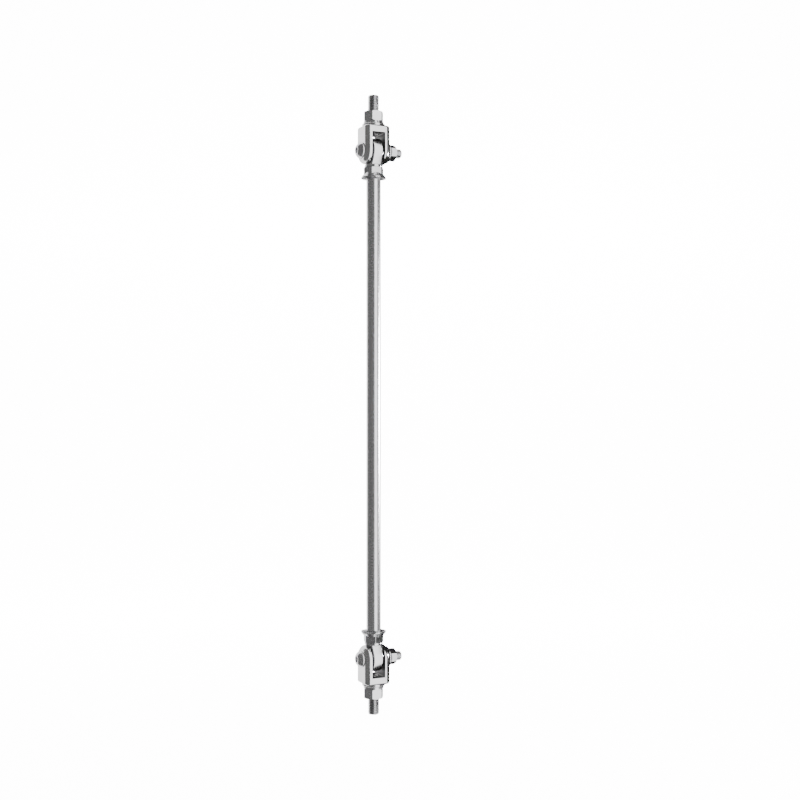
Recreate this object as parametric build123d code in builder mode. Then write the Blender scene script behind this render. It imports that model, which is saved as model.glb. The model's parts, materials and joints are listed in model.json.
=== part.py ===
from build123d import *
from dataclasses import dataclass
from math import acos, atan2, cos, radians, sin, sqrt, tan
import os

# A rod-type turnbuckle: a tube tapped right-handed at its upper end and left-handed at its
# lower end, with an eye screwed into each end, a fork pinned to each eye, and a threaded stud
# in each fork. Turning the tube moves both eyes out of it or into it together.
#
# Frame: millimetres, +Z up along the tube. X runs along both pins, with the bolt heads on -X.
# The origin is on the long axis at the outer face of the upper stud nut, where the stud's free
# thread begins, and everything else hangs below it. Threads are plain cylinders, at their crests
# but for the studs inside their forks and nuts, which are at their pitch diameter.

# Tube: tapped at both ends for the eyes' shanks, and drilled through at the tapping size
tube_length = 474.0
tube_wall = 1.5
tap_runout = 18.0
tube_end_chamfer = 0.6

# Fork: a block with two ears, full-round at their ends
fork_depth = 28.0
ear_thickness = 6.7
fork_base = 7.5
fork_side_round = 5.5
fork_base_round = 2.4
slot_root_round = 1.0

# Eye: a rounded tongue, a round collar and a threaded shank
eye_thickness = 11.8
eye_inset = 0.2
eye_edge_round = 1.8
neck_width = 15.6
collar_diameter = 19.0
collar_thickness = 2.4
collar_edge_break = 0.5
shank_diameter = 12.0
shank_length = 50.0
shank_pitch = 1.75
thread_lead_in = 1.2

# Bushes pressed into the eye, one from each side
bush_wall = 1.45
bush_flange_reach = 2.5
bush_flange = 1.2
bush_middle_gap = 0.4

# Pin: a button-head screw with a hexagon socket, and a serrated flange nut
pin_diameter = 10.0
pin_end = 7.0
pin_head_diameter = 17.5
pin_head_height = 5.5
pin_head_crown = 9.0
pin_head_rim = 0.9
pin_socket = 6.0
pin_socket_depth = 3.2
pin_nut_flats = 15.0
pin_nut_height = 10.0
pin_nut_flange_diameter = 21.8
pin_nut_flange_rim = 1.4
pin_nut_flange_height = 4.2

# Lock nut at each end of the tube: a serrated flange nut
lock_nut_flats = 19.0
lock_nut_height = 12.0
lock_nut_flange_diameter = 26.0
lock_nut_flange_rim = 1.6
lock_nut_flange_height = 6.0

# Stud with its nut, spring washer and plain washer
stud_diameter = 12.0
stud_pitch = 1.75
stud_free_length = 17.0
stud_nut_flats = 19.0
stud_nut_height = 10.8
spring_washer_diameter = 21.0
spring_washer_thickness = 2.5
spring_washer_split = 1.2
spring_washer_split_angle = 25.0
plain_washer_diameter = 24.0
plain_washer_thickness = 2.5
washer_edge_break = 0.4

# Nuts: the round left on each end face as a share of the flats, and the turned corners
nut_face_share = 0.97
nut_corner_angle = 30.0
nut_corner_room = 0.2
nut_bore_break = 0.6

# Clearances: radial round a thread, a pin or a washer's stud, and endways beside the eye
thread_gap = 0.05
running_gap = 0.05
spring_washer_gap = 0.2
plain_washer_gap = 0.5
cheek_gap = 0.2
collar_swing_gap = 0.4
slot_root_gap = 2.1

# Worked-out sizes
ear_radius = fork_depth / 2
eye_radius = ear_radius - eye_inset
bush_diameter = pin_diameter + 2 * (running_gap + bush_wall)
bush_flange_diameter = bush_diameter + 2 * bush_flange_reach
slot_width = eye_thickness + 2 * (bush_flange + cheek_gap)
fork_width = slot_width + 2 * ear_thickness
pin_length = fork_width + pin_nut_height + pin_end
tube_diameter = shank_diameter + 2 * (thread_gap + tube_wall)
tube_bore = shank_diameter - shank_pitch
stud_pitch_diameter = stud_diameter - 0.65 * stud_pitch
tapped_depth = shank_length - lock_nut_height + tap_runout

# Worked-out levels, as distances from a pivot along the long axis
collar_level = ear_radius + collar_swing_gap
lock_nut_level = collar_level + collar_thickness
tube_level = lock_nut_level + lock_nut_height
neck_reach = sqrt(collar_level**2 + (neck_width / 2) ** 2)
pivot_to_slot_root = neck_reach + slot_root_gap
seat_level = pivot_to_slot_root + fork_base
washer_stack = plain_washer_thickness + spring_washer_thickness
upper_pivot_z = -(stud_nut_height + washer_stack + seat_level)
pivot_distance = tube_length + 2 * tube_level
tube_top_z = upper_pivot_z - tube_level


@dataclass
class End:
    """One end of the turnbuckle, seen from its pivot: `out` points from the tube to the stud.

    The turns are how far round its nuts' hexagons happen to stand once they are tight.
    """

    name: str
    pivot_z: float
    out: int
    lock_nut_turn: float
    stud_nut_turn: float

    def level(self, height):
        """The plane across the long axis, at a height from the pivot towards the stud."""
        origin = (0, 0, self.pivot_z + self.out * height)
        return Plane(origin=origin, x_dir=(1, 0, 0), z_dir=(0, 0, self.out))

    def side(self, x):
        """The plane across the pin at x. Its own y runs towards the stud."""
        origin = (x, 0, self.pivot_z)
        return Plane(origin=origin, x_dir=(0, self.out, 0), z_dir=(1, 0, 0))

    def outward(self):
        """The long axis, pointing towards the stud."""
        return Axis((0, 0, self.pivot_z), (0, 0, self.out))


upper = End("upper", upper_pivot_z, 1, lock_nut_turn=26, stud_nut_turn=30)
lower = End("lower", upper_pivot_z - pivot_distance, -1, lock_nut_turn=12, stud_nut_turn=30)


def save(piece, name):
    piece.part.label = name
    export_step(piece.part, f"parts/{name}.step")


def make_tube():
    with BuildPart() as tube:
        with BuildSketch(Plane.XY.offset(tube_top_z)):
            Circle(tube_diameter / 2)
        extrude(amount=-tube_length)
        rims = tube.edges().filter_by(GeomType.CIRCLE)
        chamfer(rims, tube_end_chamfer)
        with BuildSketch(Plane.XY.offset(tube_top_z)):
            Circle(tube_bore / 2)
        extrude(amount=-tube_length, mode=Mode.SUBTRACT)
        for mouth, inward in ((tube_top_z, -1), (tube_top_z - tube_length, 1)):
            with BuildSketch(Plane.XY.offset(mouth)):
                Circle(shank_diameter / 2 + thread_gap)
            extrude(amount=inward * tapped_depth, mode=Mode.SUBTRACT)
    save(tube, "barrel_tube")


def make_fork(end):
    with BuildPart() as fork:
        with BuildSketch(end.side(-fork_width / 2)):
            Circle(ear_radius)
            with Locations((0, seat_level / 2)):
                Rectangle(fork_depth, seat_level)
        extrude(amount=fork_width)
        flanks = fork.faces().filter_by(Axis.X).edges().sort_by(end.outward())
        fillet(flanks[:-2], fork_side_round)
        fillet(fork.faces().sort_by(end.outward())[-1].edges(), fork_base_round)

        slot_height = pivot_to_slot_root + ear_radius
        with BuildSketch(end.side(-slot_width / 2)):
            with Locations((0, pivot_to_slot_root - slot_height / 2)):
                Rectangle(fork_depth, slot_height)
        extrude(amount=slot_width, mode=Mode.SUBTRACT)
        inner = fork.faces().filter_by(Axis.X).sort_by(Axis.X)[1:3]
        root = inner.edges().filter_by(Axis.Y).group_by(end.outward())[-1]
        fillet(root, slot_root_round)

        with BuildSketch(end.side(-fork_width / 2)):
            Circle(pin_diameter / 2 + running_gap)
        extrude(amount=fork_width, mode=Mode.SUBTRACT)
        with BuildSketch(end.level(0)):
            Circle(stud_pitch_diameter / 2 + thread_gap)
        extrude(amount=seat_level, mode=Mode.SUBTRACT)
    save(fork, f"{end.name}_fork")


def neck_corners():
    """The neck's four corners: two where its flanks touch the eye's rim, two at the collar."""
    half = neck_width / 2
    touch = atan2(-collar_level, half) + acos(eye_radius / neck_reach)
    rim = (eye_radius * cos(touch), eye_radius * sin(touch))
    return [rim, (half, -collar_level), (-half, -collar_level), (-rim[0], rim[1])]


def make_eye(end):
    with BuildPart() as eye:
        with BuildSketch(end.side(-eye_thickness / 2)):
            Circle(eye_radius)
            with BuildLine():
                Polyline(*neck_corners(), close=True)
            make_face()
        extrude(amount=eye_thickness)
        cheeks = eye.faces().filter_by(Axis.X).edges().sort_by(end.outward())
        fillet(cheeks[2:], eye_edge_round)

        with BuildSketch(end.level(-collar_level)):
            Circle(collar_diameter / 2)
        extrude(amount=-collar_thickness)
        collar_rims = eye.edges().filter_by(GeomType.CIRCLE).sort_by(end.outward())
        chamfer(collar_rims[0], collar_edge_break)

        with BuildSketch(end.level(-lock_nut_level)):
            Circle(shank_diameter / 2)
        extrude(amount=-shank_length)
        tip = eye.faces().sort_by(end.outward())[0].edges()
        chamfer(tip, thread_lead_in)

        with BuildSketch(end.side(-eye_thickness / 2)):
            Circle(bush_diameter / 2)
        extrude(amount=eye_thickness, mode=Mode.SUBTRACT)
    save(eye, f"{end.name}_eye")


def make_bush(end, side_name, side_sign):
    """A flanged bush: its sleeve reaches almost to the middle of the eye."""
    sleeve = eye_thickness / 2 - bush_middle_gap / 2
    with BuildPart() as bush:
        with BuildSketch(end.side(side_sign * bush_middle_gap / 2)):
            Circle(bush_diameter / 2)
        extrude(amount=side_sign * sleeve)
        with BuildSketch(end.side(side_sign * eye_thickness / 2)):
            Circle(bush_flange_diameter / 2)
        extrude(amount=side_sign * bush_flange)
        with BuildSketch(end.side(side_sign * bush_middle_gap / 2)):
            Circle(pin_diameter / 2 + running_gap)
        extrude(amount=side_sign * (sleeve + bush_flange), mode=Mode.SUBTRACT)
    save(bush, f"{end.name}_bush_{side_name}")


def lathe(plane):
    """The plane through the given plane's own axis: its x is the radius, its y the height."""
    return Plane(origin=plane.origin, x_dir=plane.x_dir, z_dir=-plane.y_dir)


def make_pin(end):
    """A button-head screw: the head bears on one ear and the thread leaves the other."""
    seat = end.side(-fork_width / 2)
    with BuildPart() as pin:
        with BuildSketch(seat):
            Circle(pin_diameter / 2)
        extrude(amount=pin_length)
        chamfer(pin.faces().sort_by(Axis.X)[-1].edges(), thread_lead_in)
        with BuildSketch(lathe(seat)):
            with BuildLine():
                rim = (pin_head_diameter / 2, -pin_head_rim)
                crown = (pin_head_crown / 2, -pin_head_height)
                Polyline((0, 0), (pin_head_diameter / 2, 0), rim)
                RadiusArc(rim, crown, pin_head_diameter / 2)
                Polyline(crown, (0, -pin_head_height), (0, 0))
            make_face()
        revolve(axis=Axis(seat.origin, seat.z_dir))
        with BuildSketch(end.side(-fork_width / 2 - pin_head_height)):
            RegularPolygon(pin_socket / 2, 6, major_radius=False)
        extrude(amount=pin_socket_depth, mode=Mode.SUBTRACT)
    save(pin, f"{end.name}_clevis_bolt")


def turned_corners(flats, height, near_end):
    """The outline, in radius and height, that takes the corners off a nut at 30 degrees."""
    inner = flats / 2 * nut_face_share
    outer = flats / sqrt(3) + nut_corner_room
    drop = (outer - inner) * tan(radians(nut_corner_angle))
    far = [(outer, height - drop), (inner, height), (0, height)]
    near = [(0, 0), (inner, 0), (outer, drop)] if near_end else [(0, 0), (outer, 0)]
    return near + far


def make_nut(name, plane, flats, height, thread_diameter, flange_outline=(), turn=0):
    """A hexagon nut that bears on the plane, with or without a flange under it."""
    spin = Axis(plane.origin, plane.z_dir)
    with BuildPart() as nut:
        with BuildSketch(plane):
            RegularPolygon(flats / 2, 6, major_radius=False, rotation=turn)
        extrude(amount=height)
        with BuildSketch(lathe(plane)):
            with BuildLine():
                Polyline(*turned_corners(flats, height, not flange_outline), close=True)
            make_face()
        revolve(axis=spin, mode=Mode.INTERSECT)
        if flange_outline:
            with BuildSketch(lathe(plane)):
                with BuildLine():
                    Polyline(*flange_outline, close=True)
                make_face()
            revolve(axis=spin)
        with BuildSketch(plane):
            Circle(thread_diameter / 2 + thread_gap)
        extrude(amount=height, mode=Mode.SUBTRACT)
        chamfer(nut.edges().filter_by(GeomType.CIRCLE).sort_by(SortBy.RADIUS)[:2], nut_bore_break)
    save(nut, name)


def flange(diameter, rim, flats, height):
    """The outline of a flange: a low rim, then a cone up to the hexagon's flats."""
    return [(0, 0), (diameter / 2, 0), (diameter / 2, rim), (flats / 2, height), (0, height)]


def make_plain_washer(end):
    with BuildPart() as washer:
        with BuildSketch(end.level(seat_level)):
            Circle(plain_washer_diameter / 2)
            Circle(stud_diameter / 2 + plain_washer_gap, mode=Mode.SUBTRACT)
        extrude(amount=plain_washer_thickness)
        top = washer.faces().sort_by(end.outward())[-1]
        chamfer(top.edges().sort_by(SortBy.RADIUS)[-1], washer_edge_break)
    save(washer, f"{end.name}_plain_washer")


def make_spring_washer(end):
    """A split lock washer, flattened by its nut, its split slanting across the section."""
    seat = end.level(seat_level + plain_washer_thickness)
    middle = end.level(seat_level + plain_washer_thickness + spring_washer_thickness / 2)
    across = Plane(origin=middle.origin, x_dir=middle.x_dir, z_dir=-middle.y_dir)
    with BuildPart() as washer:
        with BuildSketch(seat):
            Circle(spring_washer_diameter / 2)
            Circle(stud_diameter / 2 + spring_washer_gap, mode=Mode.SUBTRACT)
        extrude(amount=spring_washer_thickness)
        with BuildSketch(across):
            Rectangle(spring_washer_split, 4 * spring_washer_thickness, spring_washer_split_angle)
        extrude(amount=spring_washer_diameter, mode=Mode.SUBTRACT)
    save(washer, f"{end.name}_spring_washer")


def make_stud(end):
    """A stud whose free thread begins at its nut's outer face."""
    with BuildPart() as stud:
        with BuildSketch(end.level(pivot_to_slot_root)):
            Circle(stud_pitch_diameter / 2)
        extrude(amount=fork_base + washer_stack + stud_nut_height)
        with BuildSketch(end.level(seat_level + washer_stack + stud_nut_height)):
            Circle(stud_diameter / 2)
        extrude(amount=stud_free_length)
        tips = stud.faces().filter_by(Axis.Z).sort_by(end.outward())
        chamfer(tips[-1].edges(), thread_lead_in)
        chamfer(tips[0].edges(), thread_lead_in)
    save(stud, f"{end.name}_stud")


def make_end(end):
    """Every piece at one end, from the stud down to the lock nut on the tube."""
    make_stud(end)
    nut_seat = end.level(seat_level + washer_stack)
    make_nut(
        f"{end.name}_stud_nut",
        nut_seat,
        stud_nut_flats,
        stud_nut_height,
        stud_pitch_diameter,
        turn=end.stud_nut_turn,
    )
    make_spring_washer(end)
    make_plain_washer(end)
    make_fork(end)
    make_pin(end)
    make_nut(
        f"{end.name}_clevis_nut",
        end.side(fork_width / 2),
        pin_nut_flats,
        pin_nut_height,
        pin_diameter,
        flange(pin_nut_flange_diameter, pin_nut_flange_rim, pin_nut_flats, pin_nut_flange_height),
    )
    make_eye(end)
    make_bush(end, "head_side", -1)
    make_bush(end, "nut_side", 1)
    make_nut(
        f"{end.name}_lock_nut",
        end.level(-tube_level),
        lock_nut_flats,
        lock_nut_height,
        shank_diameter,
        flange(
            lock_nut_flange_diameter, lock_nut_flange_rim, lock_nut_flats, lock_nut_flange_height
        ),
        end.lock_nut_turn,
    )


os.makedirs("parts", exist_ok=True)
make_tube()
make_end(upper)
make_end(lower)
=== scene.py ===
"""The looks of a rod-type rigging turnbuckle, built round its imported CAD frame.

Everything is in metres with +Z up, in the same frame as the CAD: the long axis is the Z axis, both
clevis bolts lie along X with their heads on -X, and the upper end is the one on the +Z side. The
lower end is the upper one turned half round about X, so each end is built in its own axes, with
`out` pointing from the tube to the stud, and carried into place.
"""

import json
import logging
from dataclasses import dataclass, field
from enum import Enum
from math import cos, radians, sin, sqrt, tan
from typing import Any, Union

import bmesh
import bpy
import numpy as np
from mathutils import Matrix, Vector


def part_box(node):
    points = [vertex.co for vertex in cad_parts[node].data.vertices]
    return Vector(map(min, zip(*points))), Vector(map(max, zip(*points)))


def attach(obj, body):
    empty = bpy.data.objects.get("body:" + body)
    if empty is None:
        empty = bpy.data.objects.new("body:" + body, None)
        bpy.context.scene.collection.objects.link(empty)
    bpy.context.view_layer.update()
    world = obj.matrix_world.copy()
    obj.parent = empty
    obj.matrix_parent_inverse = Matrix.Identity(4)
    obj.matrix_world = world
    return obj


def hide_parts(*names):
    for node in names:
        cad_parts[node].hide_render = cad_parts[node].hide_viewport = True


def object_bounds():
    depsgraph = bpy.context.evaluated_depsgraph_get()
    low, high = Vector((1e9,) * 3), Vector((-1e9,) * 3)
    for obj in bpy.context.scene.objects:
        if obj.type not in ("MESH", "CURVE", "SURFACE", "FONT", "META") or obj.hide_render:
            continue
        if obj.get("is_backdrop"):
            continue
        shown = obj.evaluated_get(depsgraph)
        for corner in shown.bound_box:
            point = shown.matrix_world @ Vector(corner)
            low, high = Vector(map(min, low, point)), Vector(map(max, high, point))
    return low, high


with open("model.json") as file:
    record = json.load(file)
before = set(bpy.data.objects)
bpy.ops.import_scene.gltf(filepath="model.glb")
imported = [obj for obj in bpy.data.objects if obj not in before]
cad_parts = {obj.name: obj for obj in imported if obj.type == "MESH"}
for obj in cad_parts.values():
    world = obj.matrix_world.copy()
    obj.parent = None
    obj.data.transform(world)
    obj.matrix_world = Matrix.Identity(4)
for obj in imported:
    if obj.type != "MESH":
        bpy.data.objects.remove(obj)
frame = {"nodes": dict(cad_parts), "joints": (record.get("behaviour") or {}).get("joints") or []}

log = logging.getLogger("turnbuckle")

MM = 0.001
TURN = 2 * np.pi
Point = tuple[float, float, float]

# The forks' slots, whose walls and root get painted shade: half their width, the middle of the tube,
# and how far from it their roots are
SLOT_HALF_WIDTH = 7.3 * MM
TUBE_MIDDLE = -307.577 * MM
SLOT_ROOT_REACH = 284.277 * MM

# Sizes that more than one piece shares
LARGE_NUT_FLATS = 19.0 * MM
EYE_THREAD_BORE = 6.05 * MM


# Shader maths


class Link:
    """A number socket of a node tree. Arithmetic on it adds the Math nodes that work it out."""

    def __init__(self, recipe: "Recipe", socket: bpy.types.NodeSocket) -> None:
        """Wraps a socket of the recipe's node tree."""
        self.recipe = recipe
        self.socket = socket

    def _math(self, operation: str, *terms: Union["Link", float]) -> "Link":
        """Adds one Math node.

        Args:
            operation: the Math node's operation.
            terms: what goes into its sockets, in order.

        Returns:
            The node's result.
        """
        node = self.recipe.node("ShaderNodeMath", {"operation": operation}, dict(enumerate(terms)))
        return Link(self.recipe, node.outputs[0])

    def __add__(self, other: Union["Link", float]) -> "Link":
        """self + other"""
        return self._math("ADD", self, other)

    __radd__ = __add__

    def __sub__(self, other: Union["Link", float]) -> "Link":
        """self - other"""
        return self._math("SUBTRACT", self, other)

    def __rsub__(self, other: Union["Link", float]) -> "Link":
        """other - self"""
        return self._math("SUBTRACT", other, self)

    def __mul__(self, other: Union["Link", float]) -> "Link":
        """self * other"""
        return self._math("MULTIPLY", self, other)

    __rmul__ = __mul__

    def __abs__(self) -> "Link":
        """The distance from 0."""
        return self._math("ABSOLUTE", self)

    def ramp(self, low: float, high: float) -> "Link":
        """0 where this is at low, 1 where it is at high, smooth in between and level beyond.

        Args:
            low: where the ramp starts.
            high: where it ends; it may be below low.

        Returns:
            The ramp's value.
        """
        settings = {"interpolation_type": "SMOOTHSTEP"}
        values = {"Value": self, "From Min": low, "From Max": high, "To Min": 0.0, "To Max": 1.0}
        node = self.recipe.node("ShaderNodeMapRange", settings, values)
        return Link(self.recipe, node.outputs[0])


class Recipe:
    """The node tree of one material or of the world, filled through one method."""

    def __init__(self, tree: bpy.types.NodeTree) -> None:
        """Starts from an empty tree."""
        self.tree = tree
        tree.nodes.clear()

    def node(self, kind: str, settings: dict[str, Any], inputs: dict[Any, Any]) -> bpy.types.Node:
        """Adds a node.

        Args:
            kind: the node's type.
            settings: what is set on the node itself, before its sockets.
            inputs: a value, a Link or an output socket for each named or numbered socket.

        Returns:
            The new node.
        """
        made = self.tree.nodes.new(kind)
        for name, value in settings.items():
            setattr(made, name, value)
        for name, value in inputs.items():
            target = made.inputs[name]
            source = value.socket if isinstance(value, Link) else value
            if isinstance(source, bpy.types.NodeSocket):
                self.tree.links.new(source, target)
            else:
                target.default_value = source
        return made

    def place(self, scale: Point, turn: Point = (0.0, 0.0, 0.0)) -> bpy.types.NodeSocket:
        """The object's own coordinates, scaled and turned.

        Args:
            scale: how many times the pattern repeats in a metre, along each axis.
            turn: the pattern's turn about each axis, in radians.

        Returns:
            The mapped coordinates.
        """
        where = self.node("ShaderNodeTexCoord", {}, {}).outputs["Object"]
        inputs = {"Vector": where, "Scale": scale, "Rotation": turn}
        return self.node("ShaderNodeMapping", {}, inputs).outputs[0]

    def noise(self, where: bpy.types.NodeSocket, detail: float, rough: float = 0.55) -> Link:
        """Fractal noise from 0 to 1, about 0.5.

        Args:
            where: the coordinates.
            detail: how many finer layers it has.
            rough: how strong the finer layers are.

        Returns:
            The noise.
        """
        inputs = {"Vector": where, "Scale": 1.0, "Detail": detail, "Roughness": rough}
        return Link(self, self.node("ShaderNodeTexNoise", {}, inputs).outputs[0])

    def blend(self, amount: Link, low: Point, high: Point) -> bpy.types.NodeSocket:
        """The colour between low and high that the amount asks for."""
        inputs = {0: amount, 6: (*low, 1.0), 7: (*high, 1.0)}
        return self.node("ShaderNodeMix", {"data_type": "RGBA"}, inputs).outputs[2]

    def shade(self, colour: bpy.types.NodeSocket, amount: Link) -> bpy.types.NodeSocket:
        """The colour times the amount, which darkens it as painted shade."""
        inputs = {"Vector": colour, "Scale": amount}
        return self.node("ShaderNodeVectorMath", {"operation": "SCALE"}, inputs).outputs[0]

    def slot(self, half: float, middle: float, reach: float) -> Link:
        """1 on the walls and root of a slot that opens toward a level, and 0 elsewhere: where painted
        shade goes.

        Args:
            half: half the slot's width, along X.
            middle: the level that the slot opens toward.
            reach: how far from that level its root is.

        Returns:
            The mask.
        """
        where = self.node("ShaderNodeTexCoord", {}, {}).outputs["Object"]
        axes = self.node("ShaderNodeSeparateXYZ", {}, {"Vector": where}).outputs
        beside = abs(Link(self, axes["X"])).ramp(half + 0.1 * MM, half)
        before = abs(Link(self, axes["Z"]) - middle).ramp(reach + 0.1 * MM, reach)
        return beside * before

    def raise_surface(self, height: Link, depth: float) -> bpy.types.NodeSocket:
        """The normal of a surface whose height, from 0 to 1, stands for that depth in metres."""
        inputs = {"Height": height, "Distance": depth, "Strength": 1.0}
        return self.node("ShaderNodeBump", {}, inputs).outputs[0]


# Finishes


class Grain(Enum):
    """Which way the fine marks of a steel surface run: how often they repeat along X, Y and Z."""

    DRAWN = (1500.0, 1500.0, 14.0)
    TURNED_ROUND_Z = (60.0, 60.0, 2600.0)
    TURNED_ROUND_X = (2600.0, 60.0, 60.0)
    TUMBLED = (420.0, 420.0, 420.0)
    CAST = (760.0, 760.0, 760.0)


@dataclass(frozen=True)
class Steel:
    """A stainless steel surface.

    The grain is noise stretched along its lay. Fine scratches are the thin lines where another
    noise crosses its middle, and handling marks are broad soft patches that dull the shine. A slot
    is given as half its width, its middle's level and its root's distance from there, in metres:
    its walls and root are made rougher and darkened with painted shade.
    """

    name: str
    grain: Grain
    dark: Point
    light: Point
    polish: float
    dullest: float
    relief: float
    scratch_depth: float = 0.004 * MM
    patches: Point = (55.0, 55.0, 55.0)
    speckle: float = 0.0
    slot: Point = (0.0, 0.0, 0.0)

    def material(self) -> bpy.types.Material:
        """The finish as a material."""
        made = bpy.data.materials.new(self.name)
        made.use_nodes = True
        recipe = Recipe(made.node_tree)
        grain = recipe.noise(recipe.place(self.grain.value), 3.0)
        patches = recipe.noise(recipe.place(self.patches), 3.0, 0.6)
        across = recipe.noise(recipe.place((95.0, 130.0, 310.0), (0.5, 0.9, 0.3)), 2.0)
        along = recipe.noise(recipe.place((240.0, 110.0, 40.0), (1.1, 0.2, 0.7)), 2.0)
        scratches = abs(across - 0.5).ramp(0.006, 0.0) + abs(along - 0.5).ramp(0.004, 0.0)
        pits = recipe.noise(recipe.place((1300.0,) * 3), 2.0).ramp(0.56, 0.72)
        wear = patches.ramp(0.32, 0.68)
        tone = grain * 0.55 + wear * 0.45 - pits * self.speckle
        spread = self.dullest - self.polish
        gloss = self.polish + spread * (wear * 0.55 + grain * 0.35) + scratches * 0.06
        gloss = gloss + pits * (self.speckle * 0.4)
        height = grain * 0.7 + patches * 0.3 - pits * self.speckle
        marked = height - scratches * (self.scratch_depth / self.relief)
        # painted shade: the mask of the slot's walls and root
        painted_slot_shade = recipe.slot(*self.slot)
        colour = recipe.blend(tone, self.dark, self.light)
        shader = recipe.node(
            "ShaderNodeBsdfPrincipled",
            {},
            {
                # painted shade: the colour in the slot is cut to 15 per cent; the roughness is raised
                # there too
                "Base Color": recipe.shade(colour, 1.0 - painted_slot_shade * 0.85),
                "Roughness": gloss + painted_slot_shade * 0.25,
                "Metallic": 1.0,
                "Normal": recipe.raise_surface(marked, self.relief),
            },
        )
        recipe.node("ShaderNodeOutputMaterial", {}, {"Surface": shader.outputs[0]})
        return made


@dataclass(frozen=True)
class Polymer:
    """A matt black bearing polymer with fine moulding grain."""

    name: str
    dark: Point
    light: Point
    dullness: float
    relief: float

    def material(self) -> bpy.types.Material:
        """The finish as a material."""
        made = bpy.data.materials.new(self.name)
        made.use_nodes = True
        recipe = Recipe(made.node_tree)
        grain = recipe.noise(recipe.place((2200.0,) * 3), 3.0)
        patches = recipe.noise(recipe.place((180.0,) * 3), 2.0)
        shader = recipe.node(
            "ShaderNodeBsdfPrincipled",
            {},
            {
                "Base Color": recipe.blend(patches, self.dark, self.light),
                "Roughness": self.dullness - 0.12 + patches * 0.24,
                "Normal": recipe.raise_surface(grain, self.relief),
            },
        )
        recipe.node("ShaderNodeOutputMaterial", {}, {"Surface": shader.outputs[0]})
        return made


@dataclass(frozen=True)
class Paper:
    """The seamless pale studio floor and its backdrop."""

    name: str
    dark: Point
    light: Point
    glow: float

    def material(self) -> bpy.types.Material:
        """The finish as a material."""
        made = bpy.data.materials.new(self.name)
        made.use_nodes = True
        recipe = Recipe(made.node_tree)
        mottle = recipe.noise(recipe.place((3.0,) * 3), 4.0)
        inputs = {
            "Base Color": recipe.blend(mottle, self.dark, self.light),
            "Roughness": 0.9,
            "Emission Color": (1.0, 1.0, 1.0, 1.0),
            "Emission Strength": self.glow,
        }
        shader = recipe.node("ShaderNodeBsdfPrincipled", {}, inputs)
        recipe.node("ShaderNodeOutputMaterial", {}, {"Surface": shader.outputs[0]})
        return made


class Finish(Enum):
    """The finishes of the turnbuckle, under the material slots of its record."""

    TUBE = ("tube_steel", Steel("drawn_tube", Grain.DRAWN, (0.6, 0.6, 0.61),
                                (0.72, 0.72, 0.73), 0.22, 0.3, 0.004 * MM,
                                patches=(140.0, 140.0, 5.0)))
    # the fork's slot walls and root are darkened with painted shade
    FORK = ("fork_steel", Steel("tumbled_fork", Grain.CAST, (0.56, 0.56, 0.56),
                                (0.72, 0.72, 0.72), 0.1, 0.24, 0.008 * MM, speckle=0.3,
                                slot=(SLOT_HALF_WIDTH, TUBE_MIDDLE, SLOT_ROOT_REACH)))
    EYE = ("eye_steel", Steel("polished_eye", Grain.TUMBLED, (0.56, 0.56, 0.57),
                              (0.74, 0.74, 0.75), 0.12, 0.28, 0.008 * MM))
    BUSH = ("bush_polymer", Polymer("bearing_polymer", (0.012, 0.012, 0.013),
                                    (0.03, 0.03, 0.032), 0.5, 0.02 * MM))
    BOLT = ("bolt_steel", Steel("cold_headed_bolt", Grain.TURNED_ROUND_X, (0.52, 0.52, 0.53),
                                (0.72, 0.72, 0.73), 0.14, 0.32, 0.008 * MM))
    FLANGE_NUT = ("flange_nut_steel", Steel("serrated_nut", Grain.TUMBLED, (0.46, 0.46, 0.47),
                                            (0.62, 0.62, 0.63), 0.16, 0.3, 0.008 * MM))
    STUD = ("stud_steel", Steel("rolled_stud", Grain.TURNED_ROUND_Z, (0.42, 0.42, 0.43),
                                (0.6, 0.6, 0.61), 0.2, 0.38, 0.008 * MM))
    NUT = ("nut_steel", Steel("bright_nut", Grain.TUMBLED, (0.55, 0.55, 0.56),
                              (0.74, 0.74, 0.75), 0.14, 0.3, 0.01 * MM))
    WASHER = ("washer_steel", Steel("rolled_washer", Grain.TUMBLED, (0.55, 0.55, 0.56),
                                    (0.74, 0.74, 0.75), 0.18, 0.34, 0.01 * MM))

    def __init__(self, slot: str, recipe: Union[Steel, Polymer]) -> None:
        """Keeps the slot's name and the recipe apart."""
        self.slot = slot
        self.recipe = recipe

    def material(self) -> bpy.types.Material:
        """The finish's material, made the first time that it is asked for."""
        return bpy.data.materials.get(self.recipe.name) or self.recipe.material()


# Surfaces


@dataclass
class Shell:
    """A closed surface: its points, and its faces as rows of four and of three point numbers."""

    points: np.ndarray
    quads: np.ndarray
    fans: np.ndarray

    def volume(self) -> float:
        """Six times the volume inside: the sum of each triangle's corners' triple product."""
        first, second, third, fourth = (self.points[self.quads[:, k]] for k in range(4))
        total = np.sum(first * np.cross(second, third)) + np.sum(first * np.cross(third, fourth))
        if len(self.fans):
            a, b, c = (self.points[self.fans[:, k]] for k in range(3))
            total += np.sum(a * np.cross(b, c))
        return float(total)

    def outward(self) -> "Shell":
        """The same surface with every face turned outwards."""
        if self.volume() >= 0:
            return self
        return Shell(self.points, self.quads[:, ::-1], self.fans[:, ::-1])


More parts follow.
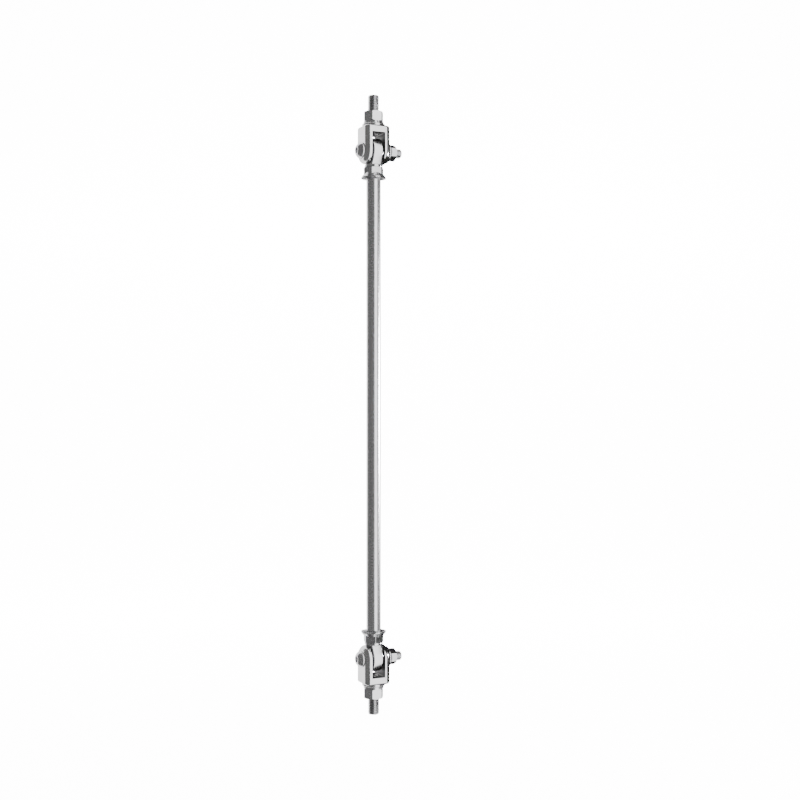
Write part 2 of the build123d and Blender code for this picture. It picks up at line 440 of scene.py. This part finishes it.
def skin(grid: np.ndarray, ring: bool = False) -> Shell:
    """The closed surface over a grid of points whose columns run once round and meet.

    Point (i, j) makes a face with (i, j + 1), (i + 1, j + 1) and (i + 1, j). The rows meet as well
    on a ring. Otherwise each end row is closed by triangles to its mean point.

    Args:
        grid: the points, by row, column and coordinate.
        ring: whether the last row joins the first.

    Returns:
        The surface, facing outwards.
    """
    rows, columns = grid.shape[:2]
    here = np.arange(rows * columns).reshape(rows, columns)
    right = np.roll(here, -1, axis=1)
    quads = np.stack([here, right, np.roll(right, -1, axis=0), np.roll(here, -1, axis=0)], axis=-1)
    points = grid.reshape(-1, 3)
    if ring:
        fans = np.zeros((0, 3), int)
    else:
        quads = quads[:-1]
        ends = np.array([grid[0].mean(axis=0), grid[-1].mean(axis=0)])
        start, stop = len(points), len(points) + 1
        points = np.vstack([points, ends])
        first = np.stack([np.full(columns, start), right[0], here[0]], axis=1)
        last = np.stack([np.full(columns, stop), here[-1], right[-1]], axis=1)
        fans = np.vstack([first, last])
    return Shell(points, quads.reshape(-1, 4), fans).outward()


@dataclass(frozen=True)
class Seat:
    """A place and a direction: local z runs along the axis and local x along across."""

    origin: Point
    axis: Point
    across: Point

    def carry(self, shell: Shell) -> Shell:
        """The shell moved from its own axes to this place: origin + x across + y side + z axis."""
        side = np.cross(self.axis, self.across)
        turned = shell.points @ np.array([self.across, side, self.axis])
        return Shell(turned + np.array(self.origin), shell.quads, shell.fans)


def turned(radius: np.ndarray, height: np.ndarray, angle: np.ndarray, ring: bool = False) -> Shell:
    """A surface turned about local z: x = radius cos(angle), y = radius sin(angle), z = height.

    Args:
        radius: distance from the axis, by row and column.
        height: height along the axis, by row and column.
        angle: the columns' angles, once round.
        ring: whether the last row joins the first.

    Returns:
        The surface.
    """
    shape = np.broadcast_shapes(np.shape(radius), np.shape(height), (1, len(angle)))
    far = np.broadcast_to(radius, shape)
    grid = np.stack([far * np.cos(angle), far * np.sin(angle), np.broadcast_to(height, shape)], -1)
    return skin(grid, ring)


def between(start: np.ndarray, stop: np.ndarray, steps: int) -> np.ndarray:
    """Rows that go evenly from start to stop, without the last: start + (stop - start) s."""
    share = np.arange(steps)[:, None] / steps
    return start + (stop - start) * share


def hexagon(angle: np.ndarray, flats: float, sharpness: float = 60.0) -> np.ndarray:
    """The radius of a hexagon with slightly rounded corners at each angle.

    Half the width across flats, over the p-norm of the cosines to the six flats' normals.

    Args:
        angle: the angles.
        flats: the width across flats.
        sharpness: the norm's power; a higher one leaves sharper corners.

    Returns:
        The radii.
    """
    normals = np.arange(6) * TURN / 6
    cosines = np.maximum(np.cos(angle[:, None] - normals), 0.0)
    return flats / 2 / np.sum(cosines**sharpness, axis=1) ** (1 / sharpness)


def thread(height: np.ndarray, angle: np.ndarray, crest: float, pitch: float, hand: int) -> np.ndarray:
    """The radius of a rolled 60-degree thread at each height and angle.

    The crest's radius, less a depth that follows how far the point is round and along the helix:
    flat over an eighth of the pitch at the crest, flat over a quarter at the root, straight flanks
    in between.

    Args:
        height: heights along the axis, as a column.
        angle: the angles.
        crest: the crest's radius.
        pitch: the distance between crests.
        hand: 1 for a right-handed thread, -1 for a left-handed one.

    Returns:
        The radii, by height and angle.
    """
    share = (height / pitch - hand * angle / TURN) % 1.0
    off_crest = 1.0 - np.abs(2.0 * share - 1.0)
    return crest - 0.61 * pitch * np.clip((off_crest - 0.125) / 0.625, 0.0, 1.0)


def make_piece(name: str, shells: list[Shell], sharp: float = 32.0) -> bpy.types.Object:
    """Puts shells into one mesh object.

    Args:
        name: the object's name.
        shells: its closed surfaces.
        sharp: the angle in degrees above which an edge is drawn sharp.

    Returns:
        The object, at the origin.
    """
    starts = np.cumsum([0] + [len(shell.points) for shell in shells])
    faces: list[list[int]] = []
    for shell, start in zip(shells, starts):
        faces += (shell.quads + start).tolist() + (shell.fans + start).tolist()
    mesh = bpy.data.meshes.new(name)
    mesh.from_pydata(np.vstack([shell.points for shell in shells]), [], faces)
    mesh.shade_smooth()
    mesh.set_sharp_from_angle(angle=radians(sharp))
    made = bpy.data.objects.new(name, mesh)
    bpy.context.scene.collection.objects.link(made)
    return made


def smooth_copy(node: str, name: str, sharp: float = 30.0) -> bpy.types.Object:
    """A merged copy of a CAD node, smooth over its rounded corners.

    Args:
        node: the CAD node.
        name: the copy's name.
        sharp: the angle in degrees above which an edge is drawn sharp.

    Returns:
        The copy, at the origin.
    """
    mesh = frame["nodes"][node].data.copy()
    mesh.name = name
    for layer in [a for a in mesh.attributes if a.name == "custom_normal"]:
        mesh.attributes.remove(layer)
    work = bmesh.new()
    work.from_mesh(mesh)
    bmesh.ops.remove_doubles(work, verts=work.verts, dist=1e-6)
    work.to_mesh(mesh)
    work.free()
    mesh.materials.clear()
    mesh.shade_smooth()
    mesh.set_sharp_from_angle(angle=radians(sharp))
    made = bpy.data.objects.new(name, mesh)
    bpy.context.scene.collection.objects.link(made)
    return made


def fit(piece: bpy.types.Object, finish: Finish, body: str, *nodes: str) -> None:
    """Finishes a piece, ties it to its body and hides the CAD nodes that it stands for.

    Args:
        piece: the object.
        finish: its finish.
        body: the CAD body that it moves with.
        nodes: the CAD nodes that it replaces.
    """
    piece.data.materials.append(finish.material())
    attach(piece, body)
    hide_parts(*nodes)
    log.info("%s: %d faces, on %s", piece.name, len(piece.data.polygons), body)


def dress(node: str, finish: Finish) -> None:
    """Gives a CAD node that stays in view its finish."""
    for slot in frame["nodes"][node].material_slots:
        slot.material = finish.material()
    log.info("%s: CAD node in %s", node, finish.recipe.name)


# Sub-assemblies


@dataclass
class Tube:
    """The tube between the two lock nuts, tapped at both ends."""

    tapped_depth: float = 56.0 * MM
    tapped_radius: float = EYE_THREAD_BORE
    drilled_radius: float = 5.125 * MM
    end_break: float = 0.6 * MM
    columns: int = 144

    def build(self) -> bpy.types.Object:
        """The tube as one ring-shaped profile carried round the long axis: out, end, bore, end."""
        low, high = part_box("barrel_tube")
        far = (high.x - low.x) / 2
        rounding = np.radians([0, 22.5, 45, 67.5, 90])
        dip = self.end_break
        rim_r = far - dip + dip * np.cos(rounding)
        rim_z = dip * np.sin(rounding) - dip
        body = high.z - low.z
        outside_z = np.linspace(-dip - 0.1 * MM, dip + 0.1 * MM - body, 40)
        tap, drill, depth = self.tapped_radius, self.drilled_radius, self.tapped_depth
        mouth = (tap + 0.9 * MM, tap, tap, drill)
        mouth_z = (0.0, -0.9 * MM, -depth, -depth - 1.2 * MM)
        radius = np.concatenate([mouth[::-1], rim_r[::-1], np.full(40, far), rim_r, mouth])
        height = np.concatenate(
            [mouth_z[::-1], rim_z[::-1], outside_z, -body - rim_z, -body - np.array(mouth_z)]
        )
        angle = np.arange(self.columns) * TURN / self.columns
        shell = turned(radius[:, None], height[:, None], angle, ring=True)
        return make_piece("tube", [Seat((0, 0, high.z), (0, 0, 1), (1, 0, 0)).carry(shell)])

    def dress(self, piece: bpy.types.Object) -> None:
        """Drawn and polished steel."""
        fit(piece, Finish.TUBE, "barrel", "barrel_tube")


@dataclass
class Nut:
    """A hexagon nut, with or without a serrated flange, bearing on local z = 0."""

    flats: float
    height: float
    bore: float
    flange: float = 0.0
    flange_rim: float = 0.0
    flange_height: float = 0.0
    teeth: int = 0
    tooth_depth: float = 0.0
    corner_angle: float = 30.0
    face_share: float = 0.97
    mouth: float = 0.6 * MM
    turn: float = 0.0
    per_flat: int = 48

    def corner_drop(self, outside: np.ndarray) -> np.ndarray:
        """How far below the end face the corner cone meets the hexagon at each angle."""
        inner = self.flats / 2 * self.face_share
        return (outside - inner) * tan(radians(self.corner_angle))

    def shell(self) -> Shell:
        """The nut: rows from the bore's far end, over the top, down the outside and back inside.

        The corner cone and the flange's cone meet the hexagon at heights that follow its radius,
        so rows of points lie along the curves where they cut it. Serrations are a saw wave
        round the flange's face that gets deeper with the radius.
        """
        angle = (np.arange(6 * self.per_flat) + 0.5) * TURN / (6 * self.per_flat)
        outside = hexagon(angle - radians(self.turn), self.flats)
        same = np.ones_like(angle)
        top, drop = self.height, self.corner_drop(outside)
        inner = self.flats / 2 * self.face_share
        bore, mouth = self.bore, self.bore + self.mouth
        rows = [
            (bore * same, (top - self.mouth) * same, 1),
            (mouth * same, top * same, 2),
            (inner * same, top * same, 4),
            (outside, top - drop, 6),
        ]
        if self.flange:
            rim, shoulder = self.flange / 2, self.flange_rim
            slope = (self.flange_height - shoulder) / (rim - self.flats / 2)
            tooth = self.saw(angle)
            rows += [
                (outside, shoulder + (rim - outside) * slope, 3),
                (rim * same, shoulder * same, 1),
                (rim * same, self.tooth_depth * tooth, 4),
                (inner * 0.8 * same, 0.25 * self.tooth_depth * tooth, 2),
            ]
        else:
            rows += [(outside, drop, 4), (inner * same, 0.0 * same, 2)]
        rows += [(mouth * same, 0.0 * same, 1), (bore * same, self.mouth * same, 3)]
        following = rows[1:] + rows[:1]
        radius = np.vstack([between(a[0], b[0], a[2]) for a, b in zip(rows, following)])
        height = np.vstack([between(a[1], b[1], a[2]) for a, b in zip(rows, following)])
        return turned(radius, height, angle, ring=True)

    def saw(self, angle: np.ndarray) -> np.ndarray:
        """A slanting saw wave from 0 to 1: up over seven tenths of a tooth, down over the rest."""
        share = (angle * self.teeth / TURN) % 1.0
        return np.minimum(share / 0.7, (1.0 - share) / 0.3)


@dataclass
class Bolt:
    """A button-head bolt, its head's bearing face at local z = 0 and its thread towards +z."""

    length: float
    radius: float = 5.0 * MM
    head: float = 17.5 * MM
    head_height: float = 5.5 * MM
    crown: float = 9.0 * MM
    rim: float = 0.9 * MM
    socket: float = 6.0 * MM
    socket_depth: float = 3.2 * MM
    pitch: float = 1.5 * MM
    threaded: float = 18.0 * MM
    tip_break: float = 1.2 * MM
    per_flat: int = 24

    def shell(self) -> Shell:
        """The bolt: rows from the socket's floor, up its walls, over the head and down the shank.

        The head's dome is an arc of radius `head / 2` from its rim to its crown. The socket's
        rows have the hexagon's radius and all the others are round.
        """
        angle = (np.arange(6 * self.per_flat) + 0.5) * TURN / (6 * self.per_flat)
        same = np.ones_like(angle)
        recess = hexagon(angle, self.socket, 80.0)
        top = -self.head_height
        floor = top + self.socket_depth
        start = np.array([self.crown / 2, top])
        stop = np.array([self.head / 2, -self.rim])
        chord = stop - start
        middle = (start + stop) / 2
        reach = self.head / 2
        away = np.array([-chord[1], chord[0]]) / np.linalg.norm(chord)
        centre = middle + away * sqrt(reach**2 - (np.linalg.norm(chord) / 2) ** 2)
        if centre[0] > middle[0]:
            centre = 2 * middle - centre
        first, last = (np.arctan2(*(p - centre)[::-1]) for p in (start, stop))
        sweep = np.linspace(first, last, 14)
        dome_r = centre[0] + reach * np.cos(sweep)
        dome_z = centre[1] + reach * np.sin(sweep)
        bevel = 0.35 * MM
        rows_r = [recess * 0.55, recess * 0.98, recess, recess, recess + bevel * 0.5]
        rows_z = [floor + 0.4 * MM, floor, floor + 0.02 * MM, top + bevel, top]
        rows_r += [r * same for r in dome_r] + [self.head / 2 * same, self.head / 2 * same]
        rows_z += list(dome_z) + [-0.2 * MM, -0.1 * MM]
        rows_r += [(self.head / 2 - 0.15 * MM) * same, self.radius * same]
        rows_z += [0.0, 0.0]
        plain = np.linspace(0.2 * MM, self.length - self.threaded, 8)
        cut = np.arange(self.length - self.threaded, self.length, self.pitch / 14)
        helix = thread(cut[:, None], angle, self.radius, self.pitch, 1)
        cut_in = np.clip((cut - cut[0]) / self.pitch, 0.0, 1.0)[:, None]
        helix = self.radius + (helix - self.radius) * cut_in
        tip = (self.radius - self.tip_break + (self.length - cut))[:, None]
        rows_r += [self.radius * same] * len(plain)
        rows_z += list(plain)
        end = (self.radius - self.tip_break) * same
        radius = np.vstack([np.array(rows_r), np.minimum(helix, tip), end])
        height = np.concatenate([rows_z, cut, [self.length]])[:, None] * same
        return turned(radius, height, angle)


@dataclass
class Stud:
    """A threaded stud, its free thread starting at local z = 0 and its tip on the +z side."""

    free: float
    hidden: float
    radius: float = 6.0 * MM
    seated_radius: float = 5.43 * MM
    pitch: float = 1.75 * MM
    tip_break: float = 1.2 * MM
    columns: int = 96

    def shell(self) -> Shell:
        """The stud: a plain seated part, then a right-handed thread under a 45-degree end cone."""
        angle = np.arange(self.columns) * TURN / self.columns
        same = np.ones_like(angle)
        cut = np.linspace(0.02 * MM, self.free, 1 + round(16 * self.free / self.pitch))
        helix = thread(cut[:, None], angle, self.radius, self.pitch, 1)
        tip = (self.radius - self.tip_break + (self.free - cut))[:, None]
        foot = self.seated_radius - self.tip_break
        rows_r = np.array([foot, self.seated_radius, self.seated_radius])[:, None] * same
        rows_z = np.array([-self.hidden, self.tip_break - self.hidden, 0.0])
        radius = np.vstack([rows_r, np.minimum(helix, tip)])
        height = np.concatenate([rows_z, cut])[:, None]
        return turned(radius, height, angle)


@dataclass
class Eye:
    """A tongue round the pin, a collar and a threaded shank. Local z runs out to the stud."""

    hand: int
    thickness: float = 11.8 * MM
    reach: float = 13.8 * MM
    hole: float = 6.5 * MM
    edge_round: float = 1.8 * MM
    neck: float = 15.6 * MM
    collar_level: float = 14.4 * MM
    collar: float = 19.0 * MM
    collar_thickness: float = 2.4 * MM
    collar_break: float = 0.5 * MM
    shank_radius: float = 6.0 * MM
    shank_length: float = 50.0 * MM
    pitch: float = 1.75 * MM
    tip_break: float = 1.2 * MM
    columns: int = 96

    def outline(self, angle: np.ndarray) -> np.ndarray:
        """How far the tongue's edge is from the pin at each angle from the neck's middle.

        The eye's radius, but towards the neck the nearer of its flank, which leaves the eye as a
        tangent to the collar's corner, and its foot, which stands in the collar.
        """
        half, level = self.neck / 2, self.collar_level
        corner = sqrt(half**2 + level**2)
        touch = np.arctan2(half, level) + np.arccos(self.reach / corner)
        off = np.abs((angle + np.pi) % TURN - np.pi)
        inside = np.clip(off, 0.0, touch)
        foot = (level + self.edge_round) / np.cos(inside)
        flank = self.reach / np.cos(inside - touch)
        return np.where(off < touch, np.minimum(foot, flank), self.reach)

    def tongue(self) -> Shell:
        """The tongue: a ring-shaped section with rounded outer corners, carried round the pin."""
        half, level = self.neck / 2, self.collar_level
        corner = np.arctan2(half, level)
        even = np.linspace(-np.pi, np.pi, 160, endpoint=False)
        angle = np.unique(np.concatenate([even, np.linspace(-corner, corner, 9)]))
        edge = self.outline(angle)
        bend = np.radians(np.linspace(90, 0, 8))[:, None]
        near = edge - self.edge_round + self.edge_round * np.cos(bend)
        side = self.thickness / 2 - self.edge_round + self.edge_round * np.sin(bend)
        side = np.broadcast_to(side, near.shape)
        hole = np.full_like(edge, self.hole)
        face = np.full_like(edge, self.thickness / 2)
        radius = np.vstack([[hole], near, near[::-1], [hole]])
        height = np.vstack([[face], side, -side[::-1], [-face]])
        shell = turned(radius, height, angle, ring=True)
        lie = np.array([[0.0, 0.0, -1.0], [0.0, 1.0, 0.0], [1.0, 0.0, 0.0]])
        return Shell(shell.points @ lie, shell.quads, shell.fans).outward()

    def stem(self) -> Shell:
        """The collar and the shank: a profile turned about the long axis, then a helical thread."""
        angle = np.arange(self.columns) * TURN / self.columns
        same = np.ones_like(angle)
        top, foot = -self.collar_level, -self.collar_level - self.collar_thickness
        rim, dip = self.collar / 2, self.collar_break
        start, end = foot - 0.05 * MM, foot - self.shank_length
        cut = np.linspace(start, end, 1 + round(12 * self.shank_length / self.pitch))
        helix = thread(cut[:, None], angle, self.shank_radius, self.pitch, self.hand)
        tip = (self.shank_radius - self.tip_break + (cut - end))[:, None]
        rows_r = [rim - dip, rim - 0.3 * dip, rim, rim, rim - 0.3 * dip, rim - dip, self.shank_radius]
        rows_z = [top, top - 0.3 * dip, top - dip, foot + dip, foot + 0.3 * dip, foot, foot]
        radius = np.vstack([np.array(rows_r)[:, None] * same, np.minimum(helix, tip)])
        height = np.concatenate([rows_z, cut])[:, None]
        return turned(radius, height, angle)


@dataclass
class End:
    """One end: a fork with its stud, the pinned eye and the lock nut on the tube."""

    name: str
    out: int
    hand: int
    lock_nut_turn: float
    stud_nut_turn: float = 30.0
    eye: Eye = field(init=False)

    def __post_init__(self) -> None:
        """The eye takes the thread of its end of the tube."""
        self.eye = Eye(self.hand)

    def node(self, piece: str) -> str:
        """The CAD node's name at this end."""
        return f"{self.name}_{piece}"

    def along(self, z: float) -> Seat:
        """A place on the long axis, facing out."""
        return Seat((0.0, 0.0, z), (0.0, 0.0, float(self.out)), (1.0, 0.0, 0.0))

    def pin(self, x: float) -> Seat:
        """A place on the pin's axis, facing +X."""
        return Seat((x, 0.0, self.pivot()), (1.0, 0.0, 0.0), (0.0, float(self.out), 0.0))

    def pivot(self) -> float:
        """The height of the pin's axis."""
        joint = next(j for j in frame["joints"] if j["name"] == self.node("pivot"))
        return float(joint["pos_m"][2])

    def outer(self, node: str) -> float:
        """The level of a CAD node's end on the stud's side."""
        low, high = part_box(self.node(node))
        return high.z if self.out > 0 else low.z

    def inner(self, node: str) -> float:
        """The level of a CAD node's end on the tube's side."""
        low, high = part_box(self.node(node))
        return low.z if self.out > 0 else high.z

    def build(self) -> None:
        """Builds and dresses every piece of this end."""
        self.build_stud()
        self.build_fork()
        self.build_pin()
        self.build_eye()
        self.build_lock_nut()

    def build_stud(self) -> None:
        """The stud with its nut; the washers under the nut are the CAD's own."""
        body = self.node("anchor")
        level = self.outer("stud_nut")
        free = abs(self.outer("stud") - level)
        hidden = abs(level - self.inner("stud"))
        shell = self.along(level).carry(Stud(free, hidden).shell())
        stud = make_piece(self.node("threaded_stud"), [shell])
        fit(stud, Finish.STUD, body, self.node("stud"))
        height = abs(level - self.inner("stud_nut"))
        nut = Nut(LARGE_NUT_FLATS, height, bore=5.48 * MM, turn=self.stud_nut_turn)
        seat = self.along(self.inner("stud_nut"))
        piece = make_piece(self.node("hexagon_nut"), [seat.carry(nut.shell())])
        fit(piece, Finish.NUT, body, self.node("stud_nut"))
        dress(self.node("plain_washer"), Finish.WASHER)
        dress(self.node("spring_washer"), Finish.WASHER)

    def build_fork(self) -> None:
        """The fork, on the upper or lower anchor's body."""
        fork = smooth_copy(self.node("fork"), self.node("finished_fork"))
        fit(fork, Finish.FORK, self.node("anchor"), self.node("fork"))

    def build_pin(self) -> None:
        """The clevis bolt and its serrated flange nut."""
        body = self.node("anchor")
        low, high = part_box(self.node("clevis_bolt"))
        bolt = Bolt(length=high.x - low.x - Bolt.head_height)
        piece = make_piece(
            self.node("button_bolt"), [self.pin(low.x + Bolt.head_height).carry(bolt.shell())]
        )
        fit(piece, Finish.BOLT, body, self.node("clevis_bolt"))
        low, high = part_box(self.node("clevis_nut"))
        nut = Nut(
            flats=15.0 * MM,
            height=high.x - low.x,
            bore=5.05 * MM,
            flange=21.8 * MM,
            flange_rim=1.4 * MM,
            flange_height=4.2 * MM,
            teeth=30,
            tooth_depth=0.9 * MM,
        )
        piece = make_piece(self.node("serrated_nut"), [self.pin(low.x).carry(nut.shell())])
        fit(piece, Finish.FLANGE_NUT, body, self.node("clevis_nut"))

    def build_eye(self) -> None:
        """The eye; its bushes are the CAD's own."""
        seat = self.along(self.pivot())
        shells = [seat.carry(self.eye.tongue()), seat.carry(self.eye.stem())]
        piece = make_piece(self.node("threaded_eye"), shells)
        fit(piece, Finish.EYE, self.node("eye"), self.node("eye"))
        dress(self.node("bush_head_side"), Finish.BUSH)
        dress(self.node("bush_nut_side"), Finish.BUSH)

    def build_lock_nut(self) -> None:
        """The lock nut, its serrated flange against the tube's end."""
        nut = Nut(
            LARGE_NUT_FLATS,
            abs(self.outer("lock_nut") - self.inner("lock_nut")),
            EYE_THREAD_BORE,
            flange=26.0 * MM,
            flange_rim=1.6 * MM,
            flange_height=6.0 * MM,
            teeth=36,
            tooth_depth=1.0 * MM,
            turn=self.lock_nut_turn,
        )
        seat = self.along(self.inner("lock_nut"))
        piece = make_piece(self.node("serrated_lock_nut"), [seat.carry(nut.shell())])
        fit(piece, Finish.FLANGE_NUT, self.node("lock_nut"), self.node("lock_nut"))


@dataclass(frozen=True)
class Panel:
    """A soft panel of the studio's sky: its bearing and half its width in degrees, its light."""

    name: str
    bearing: float
    half_width: float
    light: float

    def edge(self) -> tuple[float, float]:
        """Where its light starts and is full, as cosines of the angle from its middle."""
        return cos(radians(self.half_width + 4.0)), cos(radians(self.half_width - 4.0))


@dataclass
class Studio:
    """A pale sweep of floor and backdrop, soft light from all round, and the camera.

    Bearings are in degrees about +Z, from the side that the camera is on, positive to its right.
    The sweep isn't mirrored in the steel, which sees the sky's panels instead.
    """

    azimuth: float = -25.0
    distance: float = 1.3
    aim_right: float = 27.8 * MM
    aim_up: float = 5.0 * MM
    lens: float = 55.7
    floor_drop: float = 0.35
    floor_width: float = 4.8
    floor_back: float = 2.6
    floor_front: float = 0.7
    wall_height: float = 5.0
    sweep: float = 1.4
    glow: float = 12.0
    key_size: float = 0.35
    key_watts: float = 60.0
    key_bearing: float = 106.0
    key_distance: float = 2.0
    white: float = 18.0
    black: float = 0.03
    panels: tuple[Panel, ...] = (
        Panel("right_front", 42.0, 22.0, 4.0),
        Panel("left_back", -140.0, 28.0, 3.4),
        Panel("left_front_dim", -55.0, 62.0, 0.22),
    )

    def toward(self, bearing: float) -> Vector:
        """The level unit vector at a bearing."""
        angle = radians(self.azimuth + bearing)
        return Vector((sin(angle), -cos(angle), 0.0))

    def build_sweep(self, level: float) -> None:
        """Floor and backdrop: a profile of floor, quarter arc and wall, carried sideways."""
        paper = Paper("studio_paper", (0.84, 0.84, 0.84), (0.9, 0.9, 0.9), self.glow)
        back, right = -self.toward(0.0), self.toward(90.0)
        arc = np.radians(np.linspace(0, 90, 24))
        run = np.concatenate([[-self.floor_front], self.floor_back + self.sweep * np.sin(arc),
                              [self.floor_back + self.sweep]])
        rise = np.concatenate([[0.0], self.sweep * (1 - np.cos(arc)), [self.wall_height]])
        width = np.linspace(-self.floor_width / 2, self.floor_width / 2, 12)
        up = np.array([0.0, 0.0, 1.0])
        grid = (
            run[:, None, None] * np.array(back)
            + width[None, :, None] * np.array(right)
            + (rise[:, None, None] + level) * up
        )
        rows, columns = grid.shape[:2]
        here = np.arange(rows * columns).reshape(rows, columns)[:-1, :-1]
        faces = np.stack([here, here + 1, here + columns + 1, here + columns], axis=-1)
        mesh = bpy.data.meshes.new("sweep")
        mesh.from_pydata(grid.reshape(-1, 3), [], faces.reshape(-1, 4).tolist())
        mesh.shade_smooth()
        mesh.materials.append(paper.material())
        sweep = bpy.data.objects.new("sweep", mesh)
        bpy.context.scene.collection.objects.link(sweep)
        sweep.visible_glossy = False
        sweep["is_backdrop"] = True

    def build_key(self, middle: Vector) -> None:
        """One soft light on the right, level with the object's middle."""
        data = bpy.data.lights.new("key", "AREA")
        data.size = self.key_size
        data.energy = self.key_watts
        light = bpy.data.objects.new("key", data)
        light.location = middle + self.toward(self.key_bearing) * self.key_distance
        light.rotation_euler = (middle - light.location).to_track_quat("-Z", "Y").to_euler()
        bpy.context.scene.collection.objects.link(light)

    def build_sky(self) -> None:
        """Soft full-height panels on a dark sky, for the steel to mirror.

        A panel's light depends on the bearing alone. To the camera the sky is plain white.
        """
        world = bpy.data.worlds.new("studio_light")
        world.use_nodes = True
        recipe = Recipe(world.node_tree)
        where = recipe.node("ShaderNodeTexCoord", {}, {}).outputs["Generated"]
        flatten = {0: where, 1: (1.0, 1.0, 0.0)}
        flat = recipe.node("ShaderNodeVectorMath", {"operation": "MULTIPLY"}, flatten).outputs[0]
        bearing = recipe.node("ShaderNodeVectorMath", {"operation": "NORMALIZE"}, {0: flat})
        level: Union[Link, float] = self.black
        for panel in self.panels:
            ends = {0: bearing.outputs[0], 1: self.toward(panel.bearing)}
            side = recipe.node("ShaderNodeVectorMath", {"operation": "DOT_PRODUCT"}, ends)
            level = level + Link(recipe, side.outputs["Value"]).ramp(*panel.edge()) * panel.light
        plain = recipe.node("ShaderNodeBackground", {}, {"Strength": self.white})
        studio = recipe.node("ShaderNodeBackground", {}, {"Strength": level})
        seen = recipe.node("ShaderNodeLightPath", {}, {}).outputs["Is Camera Ray"]
        both = {0: seen, 1: studio.outputs[0], 2: plain.outputs[0]}
        mixed = recipe.node("ShaderNodeMixShader", {}, both)
        recipe.node("ShaderNodeOutputWorld", {}, {"Surface": mixed.outputs[0]})
        bpy.context.scene.world = world

    def build_camera(self, middle: Vector) -> None:
        """The camera, level with its aim beside the object's middle."""
        data = bpy.data.cameras.new("camera")
        data.lens = self.lens
        data.sensor_width = 36.0
        camera = bpy.data.objects.new("camera", data)
        aim = middle + self.toward(90.0) * self.aim_right + Vector((0, 0, self.aim_up))
        camera.location = aim + self.toward(0.0) * self.distance
        camera.rotation_euler = (aim - camera.location).to_track_quat("-Z", "Y").to_euler()
        bpy.context.scene.collection.objects.link(camera)
        bpy.context.scene.camera = camera

    def build(self, low: Vector, high: Vector) -> None:
        """Builds the studio round the object's box."""
        middle = Vector((0.0, 0.0, (low.z + high.z) / 2))
        self.build_sweep(low.z - self.floor_drop)
        self.build_key(middle)
        self.build_sky()
        self.build_camera(middle)


def main(cad_bounds: tuple[Vector, Vector]) -> None:
    """Builds the turnbuckle and its studio.

    Args:
        cad_bounds: the CAD model's lowest and highest corner.
    """
    tube = Tube()
    tube.dress(tube.build())
    for end in (End("upper", 1, 1, 26.0), End("lower", -1, -1, 12.0)):
        end.build()
        log.info("%s end built", end.name)
    Studio().build(*cad_bounds)
    log.info("sizes written")


if __name__ == "__main__":
    logging.basicConfig(level=logging.INFO, format="%(message)s")
    main(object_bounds())
